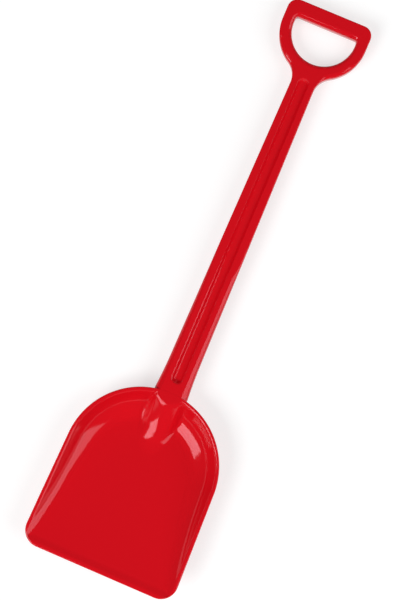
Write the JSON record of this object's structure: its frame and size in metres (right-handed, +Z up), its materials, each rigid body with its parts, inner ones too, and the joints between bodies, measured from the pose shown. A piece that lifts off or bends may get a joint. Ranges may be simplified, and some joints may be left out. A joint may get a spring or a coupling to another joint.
{
  "type": "sand shovel",
  "caption": "Long red plastic beach shovel with a broad open scoop, a grooved tapering shaft and a D-shaped hand grip, lying on its back.",
  "frame": {"origin": "on the table plane, in the middle of the shovel's length and width", "axes": "+Y along the shovel from the cutting edge to the grip, +Z up out of the open scoop, +X across"},
  "size_m": [0.1504, 0.5577, 0.0292],
  "materials": {
    "red_plastic_blade": "glossy moulded",
    "red_plastic_handle": "glossy moulded",
    "zinc_screws": "zinc plated"
  },
  "bodies": {
    "root": {"blade": "red_plastic_blade", "handle": "red_plastic_handle", "tang_screws": "zinc_screws"}
  },
  "joints": []
}
